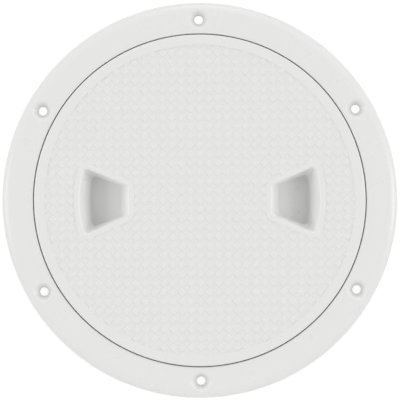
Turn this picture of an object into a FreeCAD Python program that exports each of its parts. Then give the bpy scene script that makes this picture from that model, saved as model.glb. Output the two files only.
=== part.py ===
import FreeCAD, Part
import math
import os
from FreeCAD import Vector

# A screw-out deck inspection plate: a fixed ring, a lid that screws into it, and the seal between.
# Millimetres. The origin is the centre of the flange's underside, on the deck. +Z points up out of
# the deck, and the two finger pockets of the lid lie on the X axis.

# Fixed ring: the recess that the lid drops into, and the flange outside it
RECESS_R = 104.9
RECESS_EDGE = 0.4
FLANGE_W = 20.1
FLANGE_T = 5.0
FLANGE_ROUND_W = 6.7
FLANGE_ROUND_R = 7.5
FLANGE_ROUND_STEPS = 3

# Fixed ring: the collar that passes through the deck
COLLAR_WALL = 3.5
COLLAR_DEPTH = 21.0
COLLAR_CHAMFER = 1.0

# Screw holes, their circle measured out from the recess
SCREW_INSET = 9.1
SCREW_COUNT = 6
SCREW_FIRST_DEG = 90.0
SCREW_HOLE_D = 5.5
SINK_D = 12.4
SINK_DEG = 90.0

# Thread shared by the ring and the lid
THREAD_LEAD = 6.0
THREAD_TURNS = 1.5
THREAD_HEIGHT = 2.2
THREAD_ROOT_W = 3.5
THREAD_CREST_W = 1.9
THREAD_RUN_OUT_DEG = 10.0
THREAD_RADIAL_GAP = 0.6
THREAD_TOP_Z = -3.5

# Lid: cover plate
LID_GAP = 0.7
LID_PROUD = 0.8
LID_EDGE_R = 0.9
LID_EDGE_STEPS = 2
LID_RIM_T = 3.3
BORDER_W = 6.6
FIELD_DEPTH = 0.45
FIELD_PLATE_T = 3.0

# Lid: threaded skirt
SKIRT_WALL = 3.2
SKIRT_BOTTOM_Z = -15.0

# Seal round the top of the skirt, between the lid's rim and the ring's chamfered seat
SEAL_SECTION_D = 3.2
SEAL_GAP = 0.3
SEAL_SIDES = 8

# Finger pockets
POCKET_COUNT = 2
POCKET_OUTER_R = 75.8
POCKET_INNER_X = 44.7
POCKET_INNER_HALF = 9.3
POCKET_FLARE_DEG = 23.6
POCKET_DEPTH = 13.0
POCKET_FOOT_R = 70.4
POCKET_SIDE_DRAFT_DEG = 13.0
POCKET_RAMP_X = 48.9
POCKET_RAMP_DEPTH = 4.6
POCKET_FILLET_R = 3.2
POCKET_WALL = 2.6
FRAME_W = 3.4

# Lid: stiffening ribs underneath
RIB_T = 2.2
RIB_BOTTOM_Z = -4.0
RIB_COUNT = 12
HUB_R = 13.0

# Construction
OVERCUT = 1.0
THREAD_BURY = 0.8
FULL_TURN_DEG = 360.0
QUARTER_DEG = 90.0

# Derived sizes
FLANGE_R = RECESS_R + FLANGE_W
SCREW_CIRCLE_R = RECESS_R + SCREW_INSET
LID_R = RECESS_R - LID_GAP
FIELD_R = LID_R - BORDER_W
LID_TOP_Z = FLANGE_T + LID_PROUD
FIELD_Z = LID_TOP_Z - FIELD_DEPTH
PLATE_UNDER_Z = FIELD_Z - FIELD_PLATE_T
RIM_UNDER_Z = LID_TOP_Z - LID_RIM_T
SEAL_REACH = SEAL_SECTION_D / 2.0 + SEAL_GAP
SEAT_TOP_Z = RIM_UNDER_Z - SEAL_GAP
SEAL_Z = RIM_UNDER_Z - SEAL_REACH
SEAL_R = RECESS_R - SEAT_TOP_Z + SEAL_Z - SEAL_REACH * math.sqrt(2.0)
SKIRT_OUTER_R = SEAL_R - SEAL_REACH
SKIRT_INNER_R = SKIRT_OUTER_R - SKIRT_WALL
COLLAR_BORE_R = SKIRT_OUTER_R + THREAD_HEIGHT + THREAD_RADIAL_GAP
COLLAR_OUTER_R = COLLAR_BORE_R + COLLAR_WALL
SEAT_FOOT_Z = SEAT_TOP_Z - (RECESS_R - COLLAR_BORE_R)
POCKET_FOOT_Z = LID_TOP_Z - POCKET_DEPTH
FRAME_CORNER_R = POCKET_FILLET_R + FRAME_W


def section_point(radius, height):
    """A point of a turned section, in the XZ plane."""
    return Vector(radius, 0.0, height)


def closed(points):
    """The closed outline through the points."""
    return Part.makePolygon(points + points[:1])


def turned(points):
    """The solid turned about Z by a closed section in the XZ plane."""
    return Part.Face(closed(points)).revolve(Vector(0, 0, 0), Vector(0, 0, 1), FULL_TURN_DEG)


def tube(outer_r, inner_r, low_z, high_z):
    height = high_z - low_z
    axis = Vector(0, 0, 1)
    base = Vector(0, 0, low_z)
    shell = Part.makeCylinder(outer_r, height, base, axis)
    return shell.cut(Part.makeCylinder(inner_r, height, base, axis))


def radial_rib(inner_r, outer_r, low_z, high_z, thickness, angle_deg):
    """A flat rib along a radius of the part."""
    corner = Vector(inner_r, -thickness / 2.0, low_z)
    rib = Part.makeBox(outer_r - inner_r, thickness, high_z - low_z, corner)
    rib.rotate(Vector(0, 0, 0), Vector(0, 0, 1), angle_deg)
    return rib


def around(shape, count, first_deg):
    """Copies of a shape, evenly spaced about Z."""
    copies = []
    for index in range(count):
        copy = shape.copy()
        turn_deg = first_deg + index * FULL_TURN_DEG / count
        copy.rotate(Vector(0, 0, 0), Vector(0, 0, 1), turn_deg)
        copies.append(copy)
    return copies


def thread_section(wall_r, outward):
    """The trapezoid of one thread ridge, standing on a wall and let into it for the fuse."""
    side = 1.0 if outward else -1.0
    slope = (THREAD_ROOT_W - THREAD_CREST_W) / 2.0 / THREAD_HEIGHT
    buried_half = THREAD_ROOT_W / 2.0 + THREAD_BURY * slope
    crest_half = THREAD_CREST_W / 2.0
    buried_r = wall_r - side * THREAD_BURY
    crest_r = wall_r + side * THREAD_HEIGHT
    return [
        section_point(buried_r, -buried_half),
        section_point(crest_r, -crest_half),
        section_point(crest_r, crest_half),
        section_point(buried_r, buried_half),
    ]


def thread_ridge(wall_r, outward, first_deg):
    """A right-hand ridge that climbs to THREAD_TOP_Z, with slanted ends so that it starts easily."""
    rise = THREAD_LEAD * THREAD_TURNS
    helix = Part.makeHelix(THREAD_LEAD, rise, wall_r)
    profile = closed(thread_section(wall_r, outward))
    ridge = Part.Wire(helix.Edges).makePipeShell([profile], True, True)
    ridge.translate(Vector(0, 0, THREAD_TOP_Z - rise))
    ridge.rotate(Vector(0, 0, 0), Vector(0, 0, 1), first_deg)
    return ridge


def end_wedge(wall_r, outward, end_deg, end_z, climb):
    """The piece cut from a ridge's end, so that the crest runs down into the wall."""
    side = 1.0 if outward else -1.0
    run = wall_r * math.radians(THREAD_RUN_OUT_DEG)
    height = THREAD_ROOT_W + 2.0 * OVERCUT
    crest = wall_r + side * (THREAD_HEIGHT + OVERCUT)
    corners = [
        Vector(wall_r, climb * OVERCUT, -height / 2.0),
        Vector(crest, climb * OVERCUT, -height / 2.0),
        Vector(crest, -climb * run, -height / 2.0),
    ]
    wedge = Part.Face(closed(corners)).extrude(Vector(0, 0, height))
    wedge.translate(Vector(0, 0, end_z))
    wedge.rotate(Vector(0, 0, 0), Vector(0, 0, 1), end_deg)
    return wedge


def eased_thread(wall_r, outward, first_deg):
    """The ridge with both ends eased."""
    rise = THREAD_LEAD * THREAD_TURNS
    last_deg = first_deg + FULL_TURN_DEG * THREAD_TURNS
    ridge = thread_ridge(wall_r, outward, first_deg)
    low_end = end_wedge(wall_r, outward, first_deg, THREAD_TOP_Z - rise, -1.0)
    high_end = end_wedge(wall_r, outward, last_deg, THREAD_TOP_Z, 1.0)
    return ridge.cut([low_end, high_end])


def arc_points(centre, radius, first_deg, last_deg, steps):
    """Points along an arc in the XZ plane, close enough together to pass for the curve."""
    points = []
    for index in range(steps + 1):
        angle = math.radians(first_deg + (last_deg - first_deg) * index / steps)
        reach = Vector(math.cos(angle), 0.0, math.sin(angle)) * radius
        points.append(centre + reach)
    return points


def ring_body():
    """Flange, seat and collar of the ring, before its holes and thread."""
    round_centre = section_point(FLANGE_R - FLANGE_ROUND_W, FLANGE_T - FLANGE_ROUND_R)
    round_end_deg = math.degrees(math.acos(FLANGE_ROUND_W / FLANGE_ROUND_R))
    corners = arc_points(round_centre, FLANGE_ROUND_R, QUARTER_DEG, round_end_deg, FLANGE_ROUND_STEPS)
    corners += [
        section_point(FLANGE_R, 0.0),
        section_point(COLLAR_OUTER_R, 0.0),
        section_point(COLLAR_OUTER_R, -COLLAR_DEPTH + COLLAR_CHAMFER),
        section_point(COLLAR_OUTER_R - COLLAR_CHAMFER, -COLLAR_DEPTH),
        section_point(COLLAR_BORE_R, -COLLAR_DEPTH),
        section_point(COLLAR_BORE_R, SEAT_FOOT_Z),
        section_point(RECESS_R, SEAT_TOP_Z),
        section_point(RECESS_R, FLANGE_T - RECESS_EDGE),
        section_point(RECESS_R + RECESS_EDGE, FLANGE_T),
    ]
    return turned(corners)


def screw_hole():
    """One countersunk hole, on the X axis."""
    hole_r = SCREW_HOLE_D / 2.0
    sink_r = SINK_D / 2.0
    slope = math.tan(math.radians(SINK_DEG / 2.0))
    sink_h = (sink_r - hole_r) / slope
    mouth_r = sink_r + OVERCUT * slope
    up = Vector(0, 0, 1)
    shank_base = Vector(SCREW_CIRCLE_R, 0, -OVERCUT)
    shank = Part.makeCylinder(hole_r, FLANGE_T + OVERCUT, shank_base, up)
    sink_base = Vector(SCREW_CIRCLE_R, 0, FLANGE_T - sink_h)
    sink = Part.makeCone(hole_r, mouth_r, sink_h + OVERCUT, sink_base, up)
    return shank.fuse(sink)


def make_deck_ring():
    ring = ring_body()
    ring = ring.cut(around(screw_hole(), SCREW_COUNT, SCREW_FIRST_DEG))
    half_turn_deg = FULL_TURN_DEG / 2.0
    thread = eased_thread(COLLAR_BORE_R, False, half_turn_deg)
    return ring.fuse(thread).Solids[0]


def lid_body():
    """Cover plate, rim and skirt of the lid, as one turned section."""
    edge_centre = section_point(LID_R - LID_EDGE_R, LID_TOP_Z - LID_EDGE_R)
    corners = arc_points(edge_centre, LID_EDGE_R, 0.0, QUARTER_DEG, LID_EDGE_STEPS)
    corners += [
        section_point(FIELD_R, LID_TOP_Z),
        section_point(FIELD_R - FIELD_DEPTH, FIELD_Z),
        section_point(0.0, FIELD_Z),
        section_point(0.0, PLATE_UNDER_Z),
        section_point(SKIRT_INNER_R, PLATE_UNDER_Z),
        section_point(SKIRT_INNER_R, SKIRT_BOTTOM_Z),
        section_point(SKIRT_OUTER_R, SKIRT_BOTTOM_Z),
        section_point(SKIRT_OUTER_R, RIM_UNDER_Z),
        section_point(LID_R, RIM_UNDER_Z),
    ]
    return turned(corners)


def pocket_plan(grow, height):
    """The straight-sided outline of a pocket at one height, open at its outer side."""
    flare = math.tan(math.radians(POCKET_FLARE_DEG))
    side_shift = grow / math.cos(math.radians(POCKET_FLARE_DEG))
    outer_x = POCKET_OUTER_R + POCKET_WALL + OVERCUT
    start_x = POCKET_INNER_X - grow
    inner_half = POCKET_INNER_HALF + side_shift + (start_x - POCKET_INNER_X) * flare
    outer_half = POCKET_INNER_HALF + side_shift + (outer_x - POCKET_INNER_X) * flare
    corners = [
        Vector(start_x, -inner_half, height),
        Vector(outer_x, -outer_half, height),
        Vector(outer_x, outer_half, height),
        Vector(start_x, inner_half, height),
    ]
    return closed(corners)


def pocket_solid(grow):
    """The scoop of the pocket on +X: drafted sides, a conical outer wall and a ramped floor.

    With grow it is that much larger all round, for the wall of the pocket under the plate.
    """
    low_z = POCKET_FOOT_Z - 2.0 * POCKET_WALL
    depth = LID_TOP_Z - low_z
    draft_in = depth * math.tan(math.radians(POCKET_SIDE_DRAFT_DEG))
    sides = Part.makeLoft(
        [
            pocket_plan(grow, LID_TOP_Z),
            pocket_plan(grow - draft_in, low_z),
        ],
        True,
        True,
    )
    cone_slope = (POCKET_OUTER_R - POCKET_FOOT_R) / POCKET_DEPTH
    low_r = POCKET_OUTER_R + grow - cone_slope * depth
    outer_wall = Part.makeCone(low_r, POCKET_OUTER_R + grow, depth, Vector(0, 0, low_z), Vector(0, 0, 1))
    inner_fall = POCKET_RAMP_DEPTH / (POCKET_RAMP_X - POCKET_INNER_X)
    ramp_run = POCKET_FOOT_R - POCKET_RAMP_X
    ramp_fall = (POCKET_DEPTH - POCKET_RAMP_DEPTH) / ramp_run
    far_x = POCKET_OUTER_R + POCKET_WALL + OVERCUT
    ramp_top = LID_TOP_Z - POCKET_RAMP_DEPTH - grow
    head_room = OVERCUT / inner_fall
    half_width = POCKET_OUTER_R
    profile = [
        Vector(POCKET_INNER_X - grow - head_room, -half_width, LID_TOP_Z + OVERCUT),
        Vector(POCKET_RAMP_X - grow / 2.0, -half_width, ramp_top + ramp_fall * grow / 2.0),
        Vector(far_x, -half_width, ramp_top - ramp_fall * (far_x - POCKET_RAMP_X)),
        Vector(far_x, -half_width, LID_TOP_Z + OVERCUT),
    ]
    floor = Part.Face(closed(profile)).extrude(Vector(0, 2.0 * half_width, 0))
    return sides.common([outer_wall]).common([floor])


def below_top(shape, edge):
    """True for an edge of a scoop that isn't part of its mouth."""
    return edge.BoundBox.ZMin < shape.BoundBox.ZMax - OVERCUT / 2.0


def rounded_scoop():
    """The space of the pocket on +X, with every corner below its mouth rounded for the fingers."""
    scoop = pocket_solid(0.0).Solids[0]
    edges = [edge for edge in scoop.Edges if below_top(scoop, edge)]
    return scoop.makeFillet(POCKET_FILLET_R, edges)


def make_o_ring():
    """The seal, a cord of round section whose section has SEAL_SIDES sides."""
    centre = section_point(SEAL_R, SEAL_Z)
    ring = arc_points(centre, SEAL_SECTION_D / 2.0, 0.0, FULL_TURN_DEG, SEAL_SIDES)
    return turned(ring[:-1])


def pocket_frame():
    """The smooth raised frame round the mouth of the pocket on +X, from the field up to the top."""
    height = LID_TOP_Z - FIELD_Z
    plan = Part.Face(pocket_plan(FRAME_W, FIELD_Z))
    outer_r = POCKET_OUTER_R + FRAME_W
    disc = Part.makeCylinder(outer_r, height, Vector(0, 0, FIELD_Z), Vector(0, 0, 1))
    block = plan.extrude(Vector(0, 0, height)).common([disc]).Solids[0]
    uprights = [edge for edge in block.Edges if edge.BoundBox.ZLength > height / 2.0]
    return block.makeFillet(FRAME_CORNER_R, uprights)


def under_ribs():
    """The spokes and the hub that stiffen the plate from below."""
    spoke = radial_rib(HUB_R, SKIRT_INNER_R + SKIRT_WALL / 2.0, RIB_BOTTOM_Z, PLATE_UNDER_Z, RIB_T, 0.0)
    hub = tube(HUB_R + RIB_T / 2.0, HUB_R - RIB_T / 2.0, RIB_BOTTOM_Z, PLATE_UNDER_Z)
    return around(spoke, RIB_COUNT, 0.0) + [hub]


def pocket_bucket():
    """The wall of the pocket on +X, as a block that ends inside the plate."""
    top_z = FIELD_Z - FIELD_PLATE_T / 2.0
    base = Vector(0, 0, SKIRT_BOTTOM_Z)
    below = Part.makeCylinder(LID_R, top_z - SKIRT_BOTTOM_Z, base, Vector(0, 0, 1))
    return pocket_solid(POCKET_WALL).common([below])


def make_lid():
    added = around(pocket_bucket(), POCKET_COUNT, 0.0)
    added += around(pocket_frame(), POCKET_COUNT, 0.0)
    added += under_ribs()
    added.append(eased_thread(SKIRT_OUTER_R, True, 0.0))
    lid = lid_body().fuse(added)
    return lid.cut(around(rounded_scoop(), POCKET_COUNT, 0.0)).Solids[0]


os.makedirs("parts", exist_ok=True)
pieces = {
    "deck_ring": make_deck_ring(),
    "lid": make_lid(),
    "o_ring": make_o_ring(),
}
for name, shape in pieces.items():
    shape.exportStep(os.path.join("parts", name + ".step"))
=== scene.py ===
"""Looks of a screw-out deck inspection plate, built round its packed construction.

The plate has three pieces: a fixed deck ring with a threaded collar and six countersunk screw holes,
a lid that screws into it, with a non-skid tread and two finger pockets, and the seal round the top of
the lid's skirt. Metres, +Z up out of the deck, the finger pockets on the X axis.
"""
import logging
import math
from contextlib import contextmanager
from dataclasses import dataclass
from enum import Enum
from typing import Callable, Iterator, Mapping, Sequence

import bmesh
import bpy
from bmesh.types import BMEdge
from bpy.types import Material, Node, NodeSocket, NodeTree, Object
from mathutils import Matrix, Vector


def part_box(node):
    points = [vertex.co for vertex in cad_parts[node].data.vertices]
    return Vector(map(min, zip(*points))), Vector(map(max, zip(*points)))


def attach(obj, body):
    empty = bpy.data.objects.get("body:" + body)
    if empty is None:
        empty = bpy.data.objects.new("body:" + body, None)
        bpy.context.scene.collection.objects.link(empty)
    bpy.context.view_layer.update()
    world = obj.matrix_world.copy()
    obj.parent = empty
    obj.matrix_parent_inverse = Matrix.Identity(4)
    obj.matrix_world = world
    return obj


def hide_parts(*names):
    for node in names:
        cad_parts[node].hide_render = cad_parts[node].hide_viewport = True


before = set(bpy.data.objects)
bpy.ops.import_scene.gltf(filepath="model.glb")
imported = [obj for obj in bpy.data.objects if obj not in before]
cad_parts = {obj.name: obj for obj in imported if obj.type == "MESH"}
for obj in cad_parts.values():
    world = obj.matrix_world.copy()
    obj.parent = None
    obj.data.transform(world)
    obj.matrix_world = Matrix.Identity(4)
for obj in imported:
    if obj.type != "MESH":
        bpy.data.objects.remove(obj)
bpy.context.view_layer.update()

LOG = logging.getLogger("deck_plate")
MM = 0.001
FULL_TURN = 2.0 * math.pi
SMOOTH_BELOW = math.radians(32.0)
FLAT_WEIGHT = 60
MERGE_DISTANCE = 2e-6
OVERCUT = 1.5 * MM
ALIGNED = 0.999
NOISE_LOW, NOISE_HIGH = 0.3, 0.7
WHITE = (1.0, 1.0, 1.0, 1.0)

Point2 = tuple[float, float]


class Body(Enum):
    """The bodies that the pieces ride on."""

    RING = "ring"
    SEAL = "seal"
    COVER = "cover"


class Slot(Enum):
    """The material slots of the record."""

    RING = "ring_plastic"
    LID = "lid_plastic"
    SEAL = "seal_rubber"


class Join(Enum):
    """The ways in which one closed mesh is combined with another."""

    ADD = "UNION"
    CUT = "DIFFERENCE"
    KEEP = "INTERSECT"


def deselect_all() -> None:
    """Leave edit mode and clear the selection."""
    if bpy.context.object and bpy.context.object.mode != "OBJECT":
        bpy.ops.object.mode_set(mode="OBJECT")
    bpy.ops.object.select_all(action="DESELECT")


def take_up(piece: Object) -> None:
    """Make one object the selected and active one.

    Args:
        piece: The object.
    """
    deselect_all()
    piece.select_set(True)
    bpy.context.view_layer.objects.active = piece


def settle(piece: Object) -> Object:
    """Put an object's place, turn and scale into its mesh.

    Args:
        piece: The object.

    Returns:
        The same object, now at the origin.
    """
    take_up(piece)
    bpy.ops.object.transform_apply(location=True, rotation=True, scale=True)
    return piece


def primitive(add: Callable[..., object], name: str, **shape: object) -> Object:
    """Add one of Blender's primitives and settle it.

    Args:
        add: The operator that adds it.
        name: Its name.
        shape: The operator's settings.

    Returns:
        The new object.
    """
    deselect_all()
    add(**shape)
    piece = bpy.context.object
    piece.name = name
    return settle(piece)


def apply_modifier(piece: Object, kind: str, **settings: object) -> None:
    """Add a modifier and apply it.

    Args:
        piece: The object that it shapes.
        kind: Its type.
        settings: Its settings.
    """
    take_up(piece)
    modifier = piece.modifiers.new(kind.lower(), kind)
    for name, setting in settings.items():
        setattr(modifier, name, setting)
    bpy.ops.object.modifier_apply(modifier=modifier.name)


@contextmanager
def editing(piece: Object, mode: str = "VERT", action: str = "DESELECT") -> Iterator[None]:
    """Work on a mesh in edit mode.

    Args:
        piece: The object to edit.
        mode: What is selected, VERT, EDGE or FACE.
        action: SELECT or DESELECT, for all of it at the start.
    """
    take_up(piece)
    bpy.ops.object.mode_set(mode="EDIT")
    bpy.ops.mesh.select_mode(type=mode)
    bpy.ops.mesh.select_all(action=action)
    yield
    bpy.ops.object.mode_set(mode="OBJECT")


def pick(piece: Object, kind: str, test: Callable[[object], bool]) -> None:
    """Select the edges or faces that pass a test, in edit mode.

    Args:
        piece: The object that is being edited.
        kind: The elements to look through, edges or faces.
        test: Says whether an element is wanted.
    """
    mesh = bmesh.from_edit_mesh(piece.data)
    bpy.ops.mesh.select_all(action="DESELECT")
    for element in [element for element in getattr(mesh, kind) if test(element)]:
        element.select_set(True)
    mesh.select_flush_mode()
    bmesh.update_edit_mesh(piece.data)


def bevel(piece: Object, width: float, segments: int, test: Callable[[BMEdge], bool]) -> None:
    """Round the edges that pass a test, in edit mode."""
    pick(piece, "edges", test)
    bpy.ops.mesh.bevel(offset=width, segments=segments, affect="EDGES", clamp_overlap=False)


def lies_between(edge: BMEdge, first: Vector, second: Vector) -> bool:
    """Tell whether an edge joins two faces with the given normals, in either order."""
    normals = [face.normal for face in edge.link_faces]
    orders = (normals, normals[::-1])
    return len(normals) == 2 and any(min(a.dot(first), b.dot(second)) > ALIGNED for a, b in orders)


def is_above(edge: BMEdge, height: float) -> bool:
    """Tell whether both ends of an edge lie at a height or over it."""
    return min(vert.co.z for vert in edge.verts) > height - MERGE_DISTANCE


def tidy(piece: Object) -> None:
    """Merge doubles and turn every face outwards.

    Args:
        piece: The closed mesh.
    """
    with editing(piece, action="SELECT"):
        bpy.ops.mesh.remove_doubles(threshold=MERGE_DISTANCE)
        bpy.ops.mesh.normals_make_consistent(inside=False)


def arc(centre: Point2, radius: float, first_deg: float, last_deg: float, steps: int) -> list[Point2]:
    """Work out the points of an arc from one angle to another, both ends included."""
    angles = [math.radians(first_deg + (last_deg - first_deg) * index / steps) for index in range(steps + 1)]
    return [(centre[0] + radius * math.cos(angle), centre[1] + radius * math.sin(angle)) for angle in angles]


def outline(name: str, points: Sequence[Point2], closed: bool) -> Object:
    """Draw a wire through the points of a section, in the XZ plane.

    Args:
        name: Its name.
        points: Radius and height of each point.
        closed: Whether the last point joins the first.

    Returns:
        The wire.
    """
    count = len(points)
    wire = primitive(bpy.ops.mesh.primitive_circle_add, name, vertices=count, radius=1.0, fill_type="NOTHING")
    for vertex, (radius, height) in zip(wire.data.vertices, points):
        vertex.co = (radius, 0.0, height)
    if not closed:
        with editing(wire, "EDGE"):
            pick(wire, "edges", lambda edge: {vert.index for vert in edge.verts} == {0, count - 1})
            bpy.ops.mesh.delete(type="EDGE")
    return wire


def lathe(name: str, points: Sequence[Point2], steps: int, closed: bool = True) -> Object:
    """Turn a section once round the Z axis.

    Args:
        name: The solid's name.
        points: Radius and height of the section's points.
        steps: The steps in the turn.
        closed: False for a section that starts and ends on the axis.

    Returns:
        The closed solid.
    """
    solid = outline(name, points, closed)
    with editing(solid, action="SELECT"):
        bpy.ops.mesh.spin(steps=steps, angle=FULL_TURN, center=(0, 0, 0), axis=(0, 0, 1), use_auto_merge=True)
    tidy(solid)
    return solid


def combine(base: Object, tool: Object, join: Join) -> None:
    """Combine a closed mesh with another one, which is used up."""
    apply_modifier(base, "BOOLEAN", operation=join.value, solver="MANIFOLD", object=tool)
    bpy.data.objects.remove(tool, do_unlink=True)


def grown_outline(points: Sequence[Point2], grow: float) -> list[Point2]:
    """Work out the outline that lies a given distance outside another one.

    Args:
        points: The corners, counter-clockwise.
        grow: The distance.

    Returns:
        The new corners.
    """
    corners = [Vector(point) for point in points]
    grown = []
    for index, corner in enumerate(corners):
        before = (corner - corners[index - 1]).normalized()
        after = (corners[(index + 1) % len(corners)] - corner).normalized()
        out = Vector((before.y + after.y, -before.x - after.x))
        grown.append(tuple(corner + out * grow / (1.0 + before.dot(after))))
    return grown


def prism(name: str, points: Sequence[Point2], low_z: float, high_z: float) -> Object:
    """Make an upright block.

    Args:
        name: Its name.
        points: Its corners in plan, counter-clockwise.
        low_z: The height of its bottom.
        high_z: The height of its top.

    Returns:
        The block.
    """
    block = primitive(
        bpy.ops.mesh.primitive_circle_add, name, vertices=len(points), radius=1.0, fill_type="NGON"
    )
    for vertex, (x, y) in zip(block.data.vertices, points):
        vertex.co = (x, y, low_z)
    with editing(block, "FACE", "SELECT"):
        bpy.ops.mesh.extrude_region_move(TRANSFORM_OT_translate={"value": (0, 0, high_z - low_z)})
    tidy(block)
    return block


def copies_round(piece: Object, count: int, first_deg: float = 0.0) -> Object:
    """Copy a piece evenly round the Z axis and join them all.

    Args:
        piece: The piece to copy.
        count: How many there are in all.
        first_deg: The turn given to the first.

    Returns:
        The joined piece.
    """
    made = [piece]
    for _ in range(count - 1):
        take_up(piece)
        bpy.ops.object.duplicate(linked=False)
        made.append(bpy.context.object)
    for index, copy in enumerate(made):
        copy.rotation_euler = (0.0, 0.0, math.radians(first_deg) + FULL_TURN * index / count)
        settle(copy)
    for copy in made:
        copy.select_set(True)
    bpy.context.view_layer.objects.active = piece
    bpy.ops.object.join()
    return piece


def bisect(piece: Object, point: Vector, outward: Vector, trim: bool = True) -> None:
    """Cut a solid by a plane, and with trim take off its outward side and close the cut."""
    with editing(piece, action="SELECT"):
        bpy.ops.mesh.bisect(plane_co=point, plane_no=outward.normalized(), use_fill=trim, clear_outer=trim)


def feed(tree: NodeTree, node: Node, inputs: Mapping[str | int, object]) -> None:
    """Set or link a node's inputs.

    Args:
        tree: Its tree.
        node: The node.
        inputs: For each input, a value or the socket that feeds it.
    """
    for name, value in inputs.items():
        if isinstance(value, NodeSocket):
            tree.links.new(value, node.inputs[name])
        else:
            node.inputs[name].default_value = value


def add_node(tree: NodeTree, kind: str, inputs: Mapping[str | int, object], **settings: object) -> Node:
    """Add a node to a tree.

    Args:
        tree: The tree.
        kind: The node's kind, without ShaderNode.
        inputs: For each input, a value or the socket that feeds it.
        settings: The node's own settings.

    Returns:
        The new node.
    """
    node = tree.nodes.new("ShaderNode" + kind)
    for name, setting in settings.items():
        setattr(node, name, setting)
    feed(tree, node, inputs)
    return node


def noise(tree: NodeTree, place: Node, size: float, detail: float) -> NodeSocket:
    """Add a noise on the object's own coordinates, with features of a given size."""
    inputs = {"Vector": place.outputs["Object"], "Scale": 1.0 / size, "Detail": detail}
    return add_node(tree, "TexNoise", inputs).outputs["Fac"]


def new_material(name: str) -> tuple[Material, Node]:
    """Make a plain node material.

    Args:
        name: The material's name.

    Returns:
        The material and its shader.
    """
    material = bpy.data.materials.new(name)
    material.use_nodes = True
    return material, material.node_tree.nodes["Principled BSDF"]


@dataclass(frozen=True)
class MouldedPlastic:
    """White moulded plastic with a faint grain, soft gloss, slight unevenness, and painted shade that darkens
    low faces which look up, such as the pocket floors.

    Args:
        name: The material's name.
        colour: The plain colour.
        ior: How strongly it bends light.
        cloud: The size of the cloudy patches.
        cloud_depth: How much darker they are.
        roughness: The middle roughness.
        roughness_spread: How far it strays.
        grain: The size of the moulded grain.
        grain_height: Its height.
        shade_top_z: The height below which surfaces that face up get painted shade.
        shade_low_z: The height at which the painted shade is darkest.
        shade_steep: The upward share of the normal up to which none of that shows.
        shade_flat: The upward share from which all of it does.
        shade: How much darker the painted shade makes them there.
    """

    name: str
    colour: tuple[float, float, float] = (0.829, 0.829, 0.824)
    ior: float = 1.49
    cloud: float = 26.0 * MM
    cloud_depth: float = 0.012
    roughness: float = 0.3
    roughness_spread: float = 0.06
    grain: float = 0.35 * MM
    grain_height: float = 0.006 * MM
    shade_top_z: float = 4.9 * MM
    shade_low_z: float = 0.5 * MM
    shade_steep: float = 0.45
    shade_flat: float = 0.75
    shade: float = 0.2

    def _shaded(self, colour: Sequence[float], share: float) -> tuple[float, float, float, float]:
        """Make a colour darker by a share, as a node takes it."""
        return (*(channel * (1.0 - share) for channel in colour), 1.0)

    def _painted_shade_mask(self, tree: NodeTree, place: Node) -> NodeSocket:
        """Mask the painted shade: low surfaces that face up, apart from high or steep ones.

        Args:
            tree: The tree to add to.
            place: Its texture coordinates.

        Returns:
            A socket that is 1 where the shade is painted and 0 on the rest.
        """
        # painted shade: the lower a face lies and the more it faces up, the darker it is painted, standing in
        # for the shaded pocket floors
        height = add_node(tree, "SeparateXYZ", {"Vector": place.outputs["Object"]})
        depth = add_node(
            tree, "MapRange",
            {"Value": height.outputs["Z"], "From Min": self.shade_top_z, "From Max": self.shade_low_z},
            interpolation_type="SMOOTHSTEP",
        )
        facing = add_node(tree, "SeparateXYZ", {"Vector": place.outputs["Normal"]})
        flatness = add_node(
            tree, "MapRange",
            {"Value": facing.outputs["Z"], "From Min": self.shade_steep, "From Max": self.shade_flat},
        )
        both = add_node(
            tree, "Math", {0: depth.outputs["Result"], 1: flatness.outputs["Result"]}, operation="MULTIPLY"
        )
        return both.outputs["Value"]

    def build(self) -> Material:
        """Make the node material.

        Returns:
            The finished material.
        """
        material, shader = new_material(self.name)
        tree = material.node_tree
        place = add_node(tree, "TexCoord", {})
        clouds = noise(tree, place, self.cloud, detail=4.0)
        tint = add_node(
            tree, "Mix",
            {"Factor": clouds, "A": self._shaded(self.colour, 0.0),
             "B": self._shaded(self.colour, self.cloud_depth)},
            data_type="RGBA",
        )
        # painted shade: the tint is multiplied darker by the shade mask on low faces that look up
        painted_shade_tint = add_node(
            tree, "Mix",
            {"Factor": self._painted_shade_mask(tree, place), "A": tint.outputs["Result"],
             "B": self._shaded(WHITE[:3], self.shade)},
            data_type="RGBA", blend_type="MULTIPLY",
        )
        gloss = add_node(
            tree, "MapRange",
            {"Value": clouds, "From Min": NOISE_LOW, "From Max": NOISE_HIGH,
             "To Min": self.roughness - self.roughness_spread,
             "To Max": self.roughness + self.roughness_spread},
        )
        grain = noise(tree, place, self.grain, detail=3.0)
        bump = add_node(tree, "Bump", {"Height": grain, "Strength": 1.0, "Distance": self.grain_height})
        feed(tree, shader, {
            "IOR": self.ior, "Base Color": painted_shade_tint.outputs["Result"],
            "Roughness": gloss.outputs["Result"], "Normal": bump.outputs["Normal"],
        })
        return material


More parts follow.
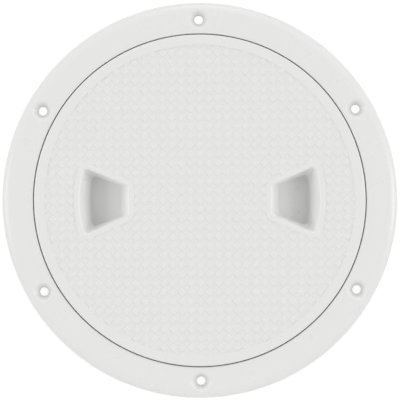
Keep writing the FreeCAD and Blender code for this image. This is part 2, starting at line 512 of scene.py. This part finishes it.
@dataclass(frozen=True)
class SealRubber:
    """Black seal rubber, dull with a little bloom.

    Args:
        name: The material's name.
        colour: The plain colour.
        bloom: The colour of the bloomed patches.
        patch: Their size.
        roughness: The middle roughness.
        roughness_spread: How far it strays.
    """

    name: str
    colour: tuple[float, float, float] = (0.03, 0.03, 0.03)
    bloom: tuple[float, float, float] = (0.055, 0.055, 0.055)
    roughness: float = 0.6
    roughness_spread: float = 0.1
    patch: float = 6.0 * MM

    def build(self) -> Material:
        """Make the node material.

        Returns:
            The finished material.
        """
        material, shader = new_material(self.name)
        tree = material.node_tree
        patches = noise(tree, add_node(tree, "TexCoord", {}), self.patch, detail=5.0)
        tint = add_node(
            tree, "Mix", {"Factor": patches, "A": (*self.colour, 1.0), "B": (*self.bloom, 1.0)},
            data_type="RGBA",
        )
        dull = add_node(
            tree, "MapRange",
            {"Value": patches, "To Min": self.roughness - self.roughness_spread,
             "To Max": self.roughness + self.roughness_spread},
        )
        feed(tree, shader, {"Base Color": tint.outputs["Result"], "Roughness": dull.outputs["Result"]})
        return material


def hand_over(piece: Object, material: Material, body: Body, node: str) -> None:
    """Shade a finished piece smooth up to its corners, dress it and fit it into the frame.

    Args:
        piece: The finished object.
        material: Its finish.
        body: The body it rides on.
        node: The node of the construction that it stands for.
    """
    piece.data.name = piece.name
    piece.data.materials.clear()
    piece.data.materials.append(material)
    take_up(piece)
    bpy.ops.object.shade_smooth_by_angle(angle=SMOOTH_BELOW, keep_sharp_edges=False)
    apply_modifier(piece, "WEIGHTED_NORMAL", mode="FACE_AREA", weight=FLAT_WEIGHT, keep_sharp=True)
    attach(piece, body.value)
    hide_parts(node)
    low, high = (
        [round(limit(vertex.co[axis] for vertex in piece.data.vertices) / MM, 2) for axis in range(3)]
        for limit in (min, max)
    )
    LOG.info("%s: %d faces, from %s to %s mm", piece.name, len(piece.data.polygons), low, high)


@dataclass
class ScrewThread:
    """The coarse thread that the lid's skirt and the ring's collar share.

    Args:
        lead: The rise in one turn.
        turns: The length of a ridge in turns.
        height: Its height over the wall.
        root_w: Its width at the wall.
        crest_w: Its width at the crest.
        run_out_deg: The stretch over which each end sinks into the wall.
        top_z: The height at which it ends.
        bury: How far it is let into the wall.
        end_sink: How far inside the wall each end of the crest finishes.
        steps_per_turn: The steps in one turn.
    """

    lead: float = 6.0 * MM
    turns: float = 1.5
    height: float = 2.2 * MM
    root_w: float = 3.5 * MM
    crest_w: float = 1.9 * MM
    run_out_deg: float = 10.0
    top_z: float = -3.5 * MM
    bury: float = 0.8 * MM
    end_sink: float = 0.24 * MM
    steps_per_turn: int = 160

    @property
    def _rise(self) -> float:
        """The rise over a whole ridge."""
        return self.lead * self.turns

    @property
    def _start_z(self) -> float:
        """The height at which a ridge starts."""
        return self.top_z - self._rise

    def ridge(self, name: str, wall_r: float, outward: bool, first_deg: float) -> Object:
        """Wind one ridge on a wall.

        Args:
            name: Its name.
            wall_r: The radius of its wall.
            outward: True on the lid's skirt, False in the collar.
            first_deg: The angle of its low end.

        Returns:
            The closed ridge, let into its wall.
        """
        side = 1.0 if outward else -1.0
        slope = (self.root_w - self.crest_w) / 2.0 / self.height
        buried_half = self.root_w / 2.0 + self.bury * slope
        crest_half = self.crest_w / 2.0
        section = [
            (wall_r - side * self.bury, self._start_z - buried_half),
            (wall_r + side * self.height, self._start_z - crest_half),
            (wall_r + side * self.height, self._start_z + crest_half),
            (wall_r - side * self.bury, self._start_z + buried_half),
        ]
        ridge = outline(name, section, closed=True)
        with editing(ridge, action="SELECT"):
            bpy.ops.mesh.edge_face_add()
        steps = round(self.steps_per_turn * self.turns)
        apply_modifier(
            ridge, "SCREW", angle=FULL_TURN * self.turns, screw_offset=self._rise,
            steps=steps, render_steps=steps, use_merge_vertices=False,
        )
        self._close_ends(ridge)
        self._ease_ends(ridge, wall_r, side)
        ridge.rotation_euler = (0.0, 0.0, math.radians(first_deg))
        settle(ridge)
        tidy(ridge)
        return ridge

    def _close_ends(self, ridge: Object) -> None:
        """Fill the two open ends of a wound section.

        Args:
            ridge: The wound section.
        """
        middle_z = self._start_z + self._rise / 2.0
        with editing(ridge, "EDGE", "SELECT"):
            bpy.ops.mesh.remove_doubles(threshold=MERGE_DISTANCE)
            for sign in (-1.0, 1.0):
                pick(ridge, "edges", lambda edge: len(edge.link_faces) == 1
                     and (edge.verts[0].co.z - middle_z) * sign > 0.0)
                bpy.ops.mesh.edge_face_add()

    def _ease_ends(self, ridge: Object, wall_r: float, side: float) -> None:
        """Sink the crest into the wall over the run-out at both ends.

        Args:
            ridge: The wound section.
            wall_r: The radius of its wall.
            side: 1 for a ridge that stands outwards, -1 for the other.
        """
        run = math.radians(self.run_out_deg)
        whole = FULL_TURN * self.turns
        for vertex in ridge.data.vertices:
            radius = math.hypot(vertex.co.x, vertex.co.y)
            over = side * (radius - wall_r)
            if over <= 0.0:
                continue
            turned = math.atan2(vertex.co.y, vertex.co.x) % FULL_TURN
            expected = (vertex.co.z - self._start_z) / self.lead * FULL_TURN
            along = turned + FULL_TURN * round((expected - turned) / FULL_TURN)
            share = min(along, whole - along) / run
            if share < 1.0:
                sunk = (over + self.end_sink) * max(share, 0.0) - self.end_sink
                factor = (wall_r + side * sunk) / radius
                vertex.co.x *= factor
                vertex.co.y *= factor


@dataclass
class DeckRing:
    """The fixed ring: flange, recess for the lid, seat for the seal, threaded collar, screw holes.

    Args:
        finish: Its plastic.
        thread: The thread in its collar.
        steps: The steps in its turn.
        recess_r: The radius of the recess for the lid.
        recess_edge: The rounding of its edge.
        round_w: The width of the flange's rounded border.
        round_r: The radius of that rounding.
        foot_edge: The rounding of the flange's foot.
        bore_r: The radius of the collar's bore.
        collar_wall: The collar's thickness.
        collar_chamfer: The chamfer of its outer foot.
        bore_edge: The chamfer of the bore's foot.
        seat_top_z: The height at which the seal's seat, a cone of 45 degrees, meets the recess.
        screw_count: The number of screw holes.
        screw_first_deg: The angle of the first.
        screw_circle_r: The radius of their circle.
        hole_r: The radius of a hole.
        hole_steps: The steps in its turn.
        sink_r: The radius of its countersink at the top.
        sink_deg: The countersink's slope.
        sink_lip: The rounding of its lip.
    """

    finish: MouldedPlastic
    thread: ScrewThread
    steps: int = 256
    recess_r: float = 104.9 * MM
    recess_edge: float = 0.45 * MM
    round_w: float = 6.7 * MM
    round_r: float = 7.5 * MM
    foot_edge: float = 0.3 * MM
    bore_r: float = 101.513 * MM
    collar_wall: float = 3.5 * MM
    collar_chamfer: float = 1.0 * MM
    bore_edge: float = 0.4 * MM
    seat_top_z: float = 2.2 * MM
    screw_count: int = 6
    screw_first_deg: float = 90.0
    screw_circle_r: float = 114.0 * MM
    hole_r: float = 2.75 * MM
    hole_steps: int = 64
    sink_r: float = 6.2 * MM
    sink_deg: float = 45.0
    sink_lip: float = 1.1 * MM

    def _section(self) -> list[Point2]:
        """Draw the section of the ring, without its holes and thread.

        Returns:
            Radius and height of its corners.
        """
        low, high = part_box("deck_ring")
        edge = self.recess_edge
        collar_r = self.bore_r + self.collar_wall
        round_end = math.degrees(math.acos(self.round_w / self.round_r))
        foot = (high.x - self.foot_edge, self.foot_edge)
        return [
            *arc((self.recess_r + edge, high.z - edge), edge, 180, 90, steps=5),
            *arc((high.x - self.round_w, high.z - self.round_r), self.round_r, 90, round_end, steps=16),
            *arc(foot, self.foot_edge, 0, -90, steps=3),
            (collar_r, 0.0),
            (collar_r, low.z + self.collar_chamfer),
            (collar_r - self.collar_chamfer, low.z),
            (self.bore_r + self.bore_edge, low.z),
            (self.bore_r, low.z + self.bore_edge),
            (self.bore_r, self.seat_top_z - (self.recess_r - self.bore_r)),
            (self.recess_r, self.seat_top_z),
        ]

    def _screw_cutter(self) -> Object:
        """Model the space of one countersunk hole, its lip rounded, and copy it round the flange.

        Returns:
            The space of all the holes.
        """
        top_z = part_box("deck_ring")[1].z
        slope = math.radians(self.sink_deg)
        sink_z = top_z - (self.sink_r - self.hole_r) * math.tan(slope)
        lip_r = self.sink_r + self.sink_lip * math.tan(slope / 2.0)
        points = [
            (0.0, -OVERCUT),
            (self.hole_r, -OVERCUT),
            (self.hole_r, sink_z),
            *arc((lip_r, top_z - self.sink_lip), self.sink_lip, 90 + self.sink_deg, 90, steps=6),
            (lip_r, top_z + OVERCUT),
            (0.0, top_z + OVERCUT),
        ]
        cutter = lathe("screw_hole", points, self.hole_steps, closed=False)
        cutter.location = (self.screw_circle_r, 0.0, 0.0)
        return copies_round(settle(cutter), self.screw_count, self.screw_first_deg)

    def build(self) -> None:
        """Model the ring and dress it."""
        ring = lathe("deck_ring_moulding", self._section(), self.steps)
        combine(ring, self._screw_cutter(), Join.CUT)
        combine(ring, self.thread.ridge("collar_thread", self.bore_r, False, 180.0), Join.ADD)
        hand_over(ring, self.finish.build(), Body.RING, "deck_ring")


@dataclass
class FingerPocket:
    """One finger pocket of the lid, on +X: the scoop, the wall round it and the raised frame.

    Args:
        top_z: The height of the frame's top.
        field_z: The height of the field round it.
        outer_r: The radius of the mouth's outer side.
        inner_x: The place of the mouth's inner side.
        inner_half: Half the width of that side.
        flare_deg: The angle of the side walls to the X axis.
        depth: The depth of the foot under the frame's top.
        foot_r: The radius of the outer wall at the foot.
        side_draft_deg: The slope of the side walls.
        ramp_x: The place of the crease between the steep and the gentle floor.
        ramp_depth: The depth of that crease.
        crease: The crease's rounding.
        corner: The rounding of the upright corners at the outer wall.
        fillet: The rounding of the other corners.
        wall: The thickness of the wall under the plate.
        frame_w: The frame's width.
        frame_edge: The rounding of its outer edge.
        frame_sink: How far it is let into the plate.
        lip: The rounding of the mouth.
        lip_ledge: The width of the ledge from which that is cut.
        lip_rise: How far over the frame's top the ledge lies.
        bend_width: The half width over which the outer wall is cut before it is bent.
        bend_steps: The number of cuts in that.
    """

    top_z: float
    field_z: float
    outer_r: float = 75.8 * MM
    inner_x: float = 44.7 * MM
    inner_half: float = 9.3 * MM
    flare_deg: float = 23.6
    depth: float = 13.0 * MM
    foot_r: float = 70.4 * MM
    side_draft_deg: float = 13.0
    ramp_x: float = 48.9 * MM
    ramp_depth: float = 4.6 * MM
    crease: float = 0.8 * MM
    corner: float = 3.2 * MM
    fillet: float = 1.1 * MM
    wall: float = 2.6 * MM
    frame_w: float = 3.4 * MM
    frame_edge: float = 0.42 * MM
    frame_sink: float = 0.8 * MM
    lip: float = 0.75 * MM
    lip_ledge: float = 0.825 * MM
    lip_rise: float = 0.01 * MM
    bend_width: float = 16.0 * MM
    bend_steps: int = 7

    @property
    def _rim_z(self) -> float:
        """The height of the mouth's ledge."""
        return self.top_z + self.lip_rise

    @property
    def _draft(self) -> float:
        """How far a side wall leans in for each unit of depth."""
        return math.tan(math.radians(self.side_draft_deg))

    def _planes(self, grow: float) -> list[tuple[Vector, Vector]]:
        """Work out the planes that bound the scoop, each a point and an outward normal.

        Args:
            grow: How far they lie outside the scoop itself.

        Returns:
            The steep floor, the gentle floor, the outer wall before it is bent, and the side walls.
        """
        flare = math.radians(self.flare_deg)
        mouth = Vector((self.inner_x, 0, self.top_z))
        crease = Vector((self.ramp_x, 0, self.top_z - self.ramp_depth))
        rim = Vector((self.outer_r, 0, self.top_z))
        planes = [
            (mouth, Vector((-self.ramp_depth, 0, self.inner_x - self.ramp_x))),
            (crease, Vector((self.ramp_depth - self.depth, 0, self.ramp_x - self.foot_r))),
            (rim, Vector((self.depth, 0, self.foot_r - self.outer_r))),
        ]
        for side in (-1.0, 1.0):
            corner = Vector((self.inner_x, side * self.inner_half, self.top_z))
            planes.append((corner, Vector((-math.sin(flare), side * math.cos(flare), -self._draft))))
        return [(point + normal.normalized() * grow, normal.normalized()) for point, normal in planes]

    def _bend(self, block: Object, grow: float) -> None:
        """Bend the flat outer wall to the lid's round, each point along a ray between the side walls.

        Args:
            block: The scoop, or a larger block.
            grow: How much larger it is.
        """
        flare = math.radians(self.flare_deg)
        slope = (self.outer_r - self.foot_r) / self.depth
        side_grow = grow * math.hypot(1.0, self._draft)
        wall_grow = grow * math.hypot(1.0, slope)
        near_x = self.ramp_x + self.corner
        far_x = self.foot_r - 2.0 * self.corner
        for vertex in block.data.vertices:
            x, y, z = vertex.co
            rise = z - self.top_z
            side = math.cos(flare) * self.inner_half + self._draft * rise + side_grow
            apex_x = self.inner_x - side / math.sin(flare)
            wall_x = self.outer_r + slope * rise + wall_grow
            ray = Vector((x - apex_x, y))
            across = (wall_x - apex_x) / ray.x
            along = ray.length_squared
            ahead = apex_x * ray.x
            reach = (math.sqrt(ahead * ahead - along * (apex_x * apex_x - wall_x * wall_x)) - ahead) / along
            share = min(max((x - near_x) / (far_x - near_x), 0.0), 1.0)
            scale = 1.0 + (reach / across - 1.0) * share
            vertex.co = (apex_x + ray.x * scale, ray.y * scale, z)

    def scoop(self, name: str, grow: float, top_z: float) -> Object:
        """Model the space of the pocket, or with grow a block that is larger by that much.

        Args:
            name: Its name.
            grow: How much larger it is all round.
            top_z: The height of its flat top.

        Returns:
            The closed block, its corners below the top rounded.
        """
        size = 2.0 * self.outer_r
        place = (self.outer_r, 0, top_z - size / 2.0)
        block = primitive(bpy.ops.mesh.primitive_cube_add, name, size=size, location=place)
        planes = self._planes(grow)
        for point, outward in planes:
            bisect(block, point, outward)
        tidy(block)
        steep, gentle, outer = (normal for _, normal in planes[:3])
        sides = [normal for _, normal in planes[3:]]
        with editing(block, "EDGE"):
            bevel(block, self.crease, 4, lambda edge: lies_between(edge, steep, gentle))
            if not grow:
                bevel(block, self.corner, 6,
                      lambda edge: any(lies_between(edge, side, outer) for side in sides))
            bevel(block, self.corner if grow else self.fillet, 6,
                  lambda edge: edge.calc_face_angle(0.0) > SMOOTH_BELOW and not is_above(edge, top_z))
        for index in range(1 - self.bend_steps, self.bend_steps):
            cut_y = index * self.bend_width / self.bend_steps
            bisect(block, Vector((0, cut_y, 0)), Vector((0, 1, 0)), trim=False)
        self._bend(block, grow)
        tidy(block)
        with editing(block, "FACE"):
            pick(block, "faces", lambda face: face.normal.z > ALIGNED)
            bpy.ops.mesh.dissolve_faces()
        return block

    def _lift_top(self, scoop: Object, corners: int, rise: float) -> None:
        """Extrude the scoop's top, the face with that many corners, straight up and leave it selected."""
        with editing(scoop, "FACE"):
            pick(scoop, "faces", lambda face: face.normal.z > ALIGNED and len(face.verts) == corners)
            bpy.ops.mesh.extrude_region_move(TRANSFORM_OT_translate={"value": (0, 0, rise)})

    def _open_out(self, scoop: Object, mouth: Sequence[Point2]) -> None:
        """Round the scoop's mouth outwards and carry it up over the frame.

        Args:
            scoop: The scoop, its top at the height of the ledge.
            mouth: The corners of the mouth.
        """
        self._lift_top(scoop, len(mouth), 0.0)
        grown = grown_outline(mouth, self.lip_ledge)
        for vertex in scoop.data.vertices:
            if vertex.select:
                near = min(range(len(mouth)), key=lambda index: (Vector(mouth[index]) - vertex.co.xy).length)
                vertex.co = (*grown[near], self._rim_z)
        self._lift_top(scoop, len(mouth), OVERCUT)
        with editing(scoop, "EDGE"):
            bevel(scoop, self.lip, 5, lambda edge: self._is_mouth(edge, mouth))
        tidy(scoop)

    def _is_mouth(self, edge: BMEdge, mouth: Sequence[Point2]) -> bool:
        """Tell whether both ends of an edge are corners of the mouth."""
        return all(
            abs(vert.co.z - self._rim_z) < MERGE_DISTANCE
            and min((Vector(corner) - vert.co.xy).length for corner in mouth) < MERGE_DISTANCE
            for vert in edge.verts
        )

    def cup(self) -> Object:
        """Model the walls and the frame round the scoop, with a rounded mouth.

        Returns:
            The closed cup.
        """
        scoop = self.scoop("pocket_scoop", 0.0, self._rim_z)
        top = max(scoop.data.polygons, key=lambda face: face.normal.z * face.area)
        mouth = [tuple(scoop.data.vertices[index].co.xy) for index in top.vertices]
        self._open_out(scoop, mouth)
        frame_low_z = self.field_z - self.frame_sink
        cup = prism("pocket_frame", grown_outline(mouth, self.frame_w), frame_low_z, self.top_z)
        with editing(cup, "EDGE"):
            bevel(cup, self.frame_edge, 3, lambda edge: is_above(edge, self.top_z))
        combine(cup, self.scoop("pocket_walls", self.wall, self.field_z - self.frame_sink / 2.0), Join.ADD)
        combine(cup, scoop, Join.CUT)
        tidy(cup)
        return cup

    def core(self) -> Object:
        """Model the space that the plate leaves free for a cup, ending halfway in the cup's walls."""
        return self.scoop("pocket_core", self.wall / 2.0, self.top_z + OVERCUT)


@dataclass(frozen=True)
class Lamp:
    """One soft lamp, far away.

    Args:
        name: Its name.
        azimuth_deg: The side it stands on, counter-clockwise from +X.
        elevation_deg: Its height over the deck.
        strength: The light on a surface that faces it.
        softness_deg: The angle that it fills.
    """

    name: str
    azimuth_deg: float
    elevation_deg: float
    strength: float
    softness_deg: float = 20.0


@dataclass
class Studio:
    """White floor, soft lamps round the plate, and the camera straight above it.

    Args:
        floor_z: The height of the floor.
        floor_size: The length of its sides.
        floor_white: The share of light that it gives back.
        floor_lift: Its own light, where it shows as the background.
        surround_low: The surround's light at the horizon.
        surround_high: Its light straight up and down.
        lamps: The lamps.
        camera_x: How far east of the plate's middle the camera stands.
        camera_y: How far north of it.
        camera_height: Its height over the flange's top.
        frame_width: The width of its frame at that distance.
        sensor_width: The width of its film in millimetres.
        roll_deg: Its turn about the line of sight.
    """

    floor_z: float
    floor_size: float = 8.0
    floor_white: float = 0.85
    floor_lift: float = 0.36
    surround_low: float = 1.38
    surround_high: float = 0.545
    lamps: tuple[Lamp, ...] = (
        Lamp("north", 90.0, 15.0, 0.26),
        Lamp("east", 0.0, 22.0, 0.48),
        Lamp("west", 180.0, 22.0, 0.42),
    )
    camera_x: float = 0.09 * MM
    camera_y: float = 0.23 * MM
    camera_height: float = 560.0 * MM
    frame_width: float = 251.2 * MM
    sensor_width: float = 36.0
    roll_deg: float = -0.4

    def build(self) -> None:
        """Set up the floor, the lamps, the world and the camera."""
        bpy.context.scene.view_settings.view_transform = "Standard"
        self._floor()
        self._lamps()
        self._world()
        self._camera()

    @staticmethod
    def _shows_as_background(tree: NodeTree) -> NodeSocket:
        """Tell the rays that show the background, straight or in a mirror or glass, from light.

        Args:
            tree: The tree to add to.

        Returns:
            A socket that is 1 for them and 0 for the rest.
        """
        path = add_node(tree, "LightPath", {})
        shown = path.outputs["Is Camera Ray"]
        for kind in ("Is Glossy Ray", "Is Transmission Ray"):
            either = add_node(tree, "Math", {0: shown, 1: path.outputs[kind]}, operation="MAXIMUM")
            shown = either.outputs["Value"]
        return shown

    def _floor(self) -> None:
        """Lay a wide white floor that shows white to the camera and keeps the shadow."""
        floor = primitive(
            bpy.ops.mesh.primitive_plane_add, "studio_floor",
            size=self.floor_size, location=(0, 0, self.floor_z),
        )
        material, shader = new_material("studio_floor")
        tree = material.node_tree
        lift = add_node(
            tree, "Math", {0: self._shows_as_background(tree), 1: self.floor_lift}, operation="MULTIPLY"
        )
        feed(tree, shader, {
            "Base Color": (self.floor_white, self.floor_white, self.floor_white, 1.0),
            "Roughness": 1.0, "Specular IOR Level": 0.0,
            "Emission Color": WHITE, "Emission Strength": lift.outputs["Value"],
        })
        floor.data.materials.append(material)

    def _lamps(self) -> None:
        """Stand soft far lamps round the plate, all aimed at its middle."""
        for lamp in self.lamps:
            turn = (0.0, math.radians(90.0 - lamp.elevation_deg), math.radians(lamp.azimuth_deg))
            deselect_all()
            bpy.ops.object.light_add(type="SUN", rotation=turn)
            made = bpy.context.object
            made.name = "lamp_" + lamp.name
            made.data.energy = lamp.strength
            made.data.angle = math.radians(lamp.softness_deg)

    def _world(self) -> None:
        """Make a surround brightest at the horizon, and plain white where it shows as the background."""
        world = bpy.data.worlds.new("surround")
        bpy.context.scene.world = world
        world.use_nodes = True
        tree = world.node_tree
        direction = add_node(tree, "TexCoord", {})
        parts = add_node(tree, "SeparateXYZ", {"Vector": direction.outputs["Generated"]})
        steepness = add_node(tree, "Math", {0: parts.outputs["Z"]}, operation="ABSOLUTE")
        fall = add_node(tree, "MapRange", {
            "Value": steepness.outputs["Value"], "To Min": self.surround_low, "To Max": self.surround_high,
        })
        level = add_node(tree, "MapRange", {
            "Value": self._shows_as_background(tree), "To Min": fall.outputs["Result"], "To Max": 1.0,
        })
        feed(tree, tree.nodes["Background"], {"Color": WHITE, "Strength": level.outputs["Result"]})

    def _camera(self) -> None:
        """Hang a camera straight above the plate, with the photograph's framing."""
        deselect_all()
        place = (self.camera_x, self.camera_y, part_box("deck_ring")[1].z + self.camera_height)
        bpy.ops.object.camera_add(location=place, rotation=(0, 0, math.radians(self.roll_deg)))
        camera = bpy.context.object
        camera.name = "camera"
        camera.data.sensor_width = self.sensor_width
        camera.data.lens = self.sensor_width * self.camera_height / self.frame_width
        bpy.context.scene.camera = camera


@dataclass
class NonSkidTread:
    """The square lattice of low diamonds on the lid's field.

    Args:
        field_z: The height of the field.
        edge_r: The radius at which the lattice ends.
        edge_steps: The steps in that circle.
        pitch: The distance from one diamond to the next.
        base_half: Half a diamond's diagonal at the field.
        top_half: Half its diagonal at the top.
        height: Its height over the field.
        sink: How far it is let into the field.
        top_edge: The chamfer of its top.
    """

    field_z: float
    edge_r: float
    edge_steps: int = 192
    pitch: float = 5.78 * MM
    base_half: float = 2.68 * MM
    top_half: float = 2.15 * MM
    height: float = 0.4 * MM
    sink: float = 0.3 * MM
    top_edge: float = 0.12 * MM

    def build(self) -> Object:
        """Model one diamond, array it over the field and trim the lattice.

        Returns:
            All the diamonds in one object.
        """
        spread = (self.base_half - self.top_half) / self.height
        tread = primitive(
            bpy.ops.mesh.primitive_cone_add, "tread", vertices=4,
            radius1=self.base_half + spread * self.sink, radius2=self.top_half,
            depth=self.height + self.sink, location=(0, 0, self.field_z + (self.height - self.sink) / 2.0),
        )
        with editing(tread, "EDGE"):
            bevel(tread, self.top_edge, 1, lambda edge: is_above(edge, self.field_z + self.height))
        count = 2 * math.ceil(self.edge_r / self.pitch) + 1
        reach = (count - 1) / 2.0 * self.pitch
        tread.location = (-reach, -reach, 0.0)
        settle(tread)
        for offset in ((self.pitch, 0, 0), (0, self.pitch, 0)):
            apply_modifier(
                tread, "ARRAY", count=count, use_relative_offset=False,
                use_constant_offset=True, constant_offset_displace=offset,
            )
        disc = primitive(
            bpy.ops.mesh.primitive_cylinder_add, "tread_trim", vertices=self.edge_steps,
            radius=self.edge_r, depth=2.0 * OVERCUT, location=(0, 0, self.field_z),
        )
        combine(tread, disc, Join.KEEP)
        return tread


@dataclass
class ScrewLid:
    """The lid: plate, border, field, skirt with its thread, ribs, pockets and tread.

    Args:
        finish: Its plastic.
        thread: The thread on its skirt.
        steps: The steps in its turn.
        edge_r: The rounding of its outer edge.
        rim_t: The thickness of its rim.
        rim_edge: The rounding of the rim's lower edge.
        border_w: The width of the plain border.
        field_depth: How far the field lies under it.
        plate_t: The plate's thickness at the field.
        skirt_outer_r: The skirt's outer radius.
        skirt_wall: The skirt's thickness.
        skirt_edge: The chamfer of its foot.
        step_run: How far the step from field to border leans.
        step_edge: The rounding of its top.
        step_deg: The angle at which that starts.
        rib_t: The thickness of the spokes and the hub.
        rib_low_z: The height of their underside.
        rib_sink: How far they are let into the plate.
        rib_count: The number of spokes.
        rib_edge: The rounding of their lower edges.
        hub_r: The hub's middle radius.
        hub_steps: The steps in its turn.
    """

    finish: MouldedPlastic
    thread: ScrewThread
    steps: int = 256
    edge_r: float = 1.2 * MM
    rim_t: float = 3.3 * MM
    rim_edge: float = 0.3 * MM
    border_w: float = 6.6 * MM
    field_depth: float = 0.45 * MM
    plate_t: float = 3.0 * MM
    skirt_outer_r: float = 98.713 * MM
    skirt_wall: float = 3.2 * MM
    skirt_edge: float = 0.4 * MM
    step_run: float = 0.05 * MM
    step_edge: float = 0.2 * MM
    step_deg: float = 160.0
    rib_t: float = 2.2 * MM
    rib_low_z: float = -4.0 * MM
    rib_sink: float = 1.0 * MM
    rib_count: int = 12
    rib_edge: float = 0.3 * MM
    hub_r: float = 13.0 * MM
    hub_steps: int = 96

    @property
    def _field_z(self) -> float:
        """The height of the field that the tread stands on."""
        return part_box("lid")[1].z - self.field_depth

    @property
    def _under_z(self) -> float:
        """The height of the plate's underside."""
        return self._field_z - self.plate_t

    @property
    def _field_r(self) -> float:
        """The radius at which the border starts."""
        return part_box("lid")[1].x - self.border_w

    def _section(self) -> list[Point2]:
        """Draw the section of plate, border, rim and skirt, from the axis out and back.

        Returns:
            Radius and height of its corners.
        """
        low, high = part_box("lid")
        inner_r = self.skirt_outer_r - self.skirt_wall
        rim_z = high.z - self.rim_t
        step = (self._field_r + self.step_edge, high.z - self.step_edge)
        edge = (high.x - self.edge_r, high.z - self.edge_r)
        rim = (high.x - self.rim_edge, rim_z + self.rim_edge)
        return [
            (0.0, self._field_z),
            (self._field_r - self.step_run, self._field_z),
            *arc(step, self.step_edge, self.step_deg, 90, steps=4),
            *arc(edge, self.edge_r, 90, 0, steps=9),
            *arc(rim, self.rim_edge, 0, -90, steps=3),
            (self.skirt_outer_r, rim_z),
            (self.skirt_outer_r, low.z + self.skirt_edge),
            (self.skirt_outer_r - self.skirt_edge, low.z),
            (inner_r + self.skirt_edge, low.z),
            (inner_r, low.z + self.skirt_edge),
            (inner_r, self._under_z),
            (0.0, self._under_z),
        ]

    def _ribs(self) -> Object:
        """Model one spoke, from the hub to the middle of the skirt's wall, and copy it round.

        Returns:
            All the spokes.
        """
        high_z = self._under_z + self.rib_sink
        height = high_z - self.rib_low_z
        length = self.skirt_outer_r - self.skirt_wall / 2.0 - self.hub_r
        spoke = primitive(
            bpy.ops.mesh.primitive_cube_add, "ribs", size=1.0, scale=(length, self.rib_t, height),
            location=(self.hub_r + length / 2.0, 0.0, self.rib_low_z + height / 2.0),
        )
        with editing(spoke, "EDGE"):
            bevel(spoke, self.rib_edge, 3, lambda edge: not is_above(edge, high_z)
                  and abs(edge.verts[0].co.x - edge.verts[1].co.x) > length / 2.0)
        return copies_round(spoke, self.rib_count)

    def _hub(self) -> Object:
        """Model the ring in which the spokes meet.

        Returns:
            The closed ring.
        """
        inner, outer = self.hub_r - self.rib_t / 2.0, self.hub_r + self.rib_t / 2.0
        high_z = self._under_z + self.rib_sink
        edge = self.rib_edge
        points = [
            (inner, high_z), (outer, high_z),
            *arc((outer - edge, self.rib_low_z + edge), edge, 0, -90, steps=3),
            *arc((inner + edge, self.rib_low_z + edge), edge, -90, -180, steps=3),
        ]
        return lathe("hub", points, self.hub_steps)

    def build(self) -> None:
        """Model the lid and dress it."""
        lid = lathe("screw_lid", self._section(), self.steps, closed=False)
        combine(lid, self._hub(), Join.ADD)
        combine(lid, self._ribs(), Join.ADD)
        combine(lid, self.thread.ridge("skirt_thread", self.skirt_outer_r, True, 0.0), Join.ADD)
        combine(lid, NonSkidTread(self._field_z, self._field_r).build(), Join.ADD)
        pocket = FingerPocket(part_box("lid")[1].z, self._field_z)
        combine(lid, copies_round(pocket.core(), 2), Join.CUT)
        combine(lid, copies_round(pocket.cup(), 2), Join.ADD)
        hand_over(lid, self.finish.build(), Body.COVER, "lid")


@dataclass
class SealRing:
    """The seal round the top of the skirt: a cord of round section.

    Args:
        finish: Its rubber.
        section_d: The cord's thickness.
        steps: The steps round the ring.
        section_steps: The steps round the cord.
    """

    finish: SealRubber
    section_d: float = 3.2 * MM
    steps: int = 256
    section_steps: int = 20

    def build(self) -> None:
        """Model the seal and dress it."""
        low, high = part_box("o_ring")
        cord_r = self.section_d / 2.0
        seal = primitive(
            bpy.ops.mesh.primitive_torus_add, "seal_cord", location=(0, 0, (low.z + high.z) / 2.0),
            major_radius=high.x - cord_r, major_segments=self.steps,
            minor_radius=cord_r, minor_segments=self.section_steps,
        )
        hand_over(seal, self.finish.build(), Body.SEAL, "o_ring")


def main() -> None:
    """Build the plate's pieces in order, then the studio."""
    logging.basicConfig(level=logging.INFO, format="%(name)s %(message)s")
    thread = ScrewThread()
    DeckRing(MouldedPlastic("ring_plastic_white"), thread).build()
    SealRing(SealRubber("seal_rubber_black")).build()
    ScrewLid(MouldedPlastic("lid_plastic_white"), thread).build()
    Studio(floor_z=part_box("deck_ring")[0].z).build()


if __name__ == "__main__":
    main()
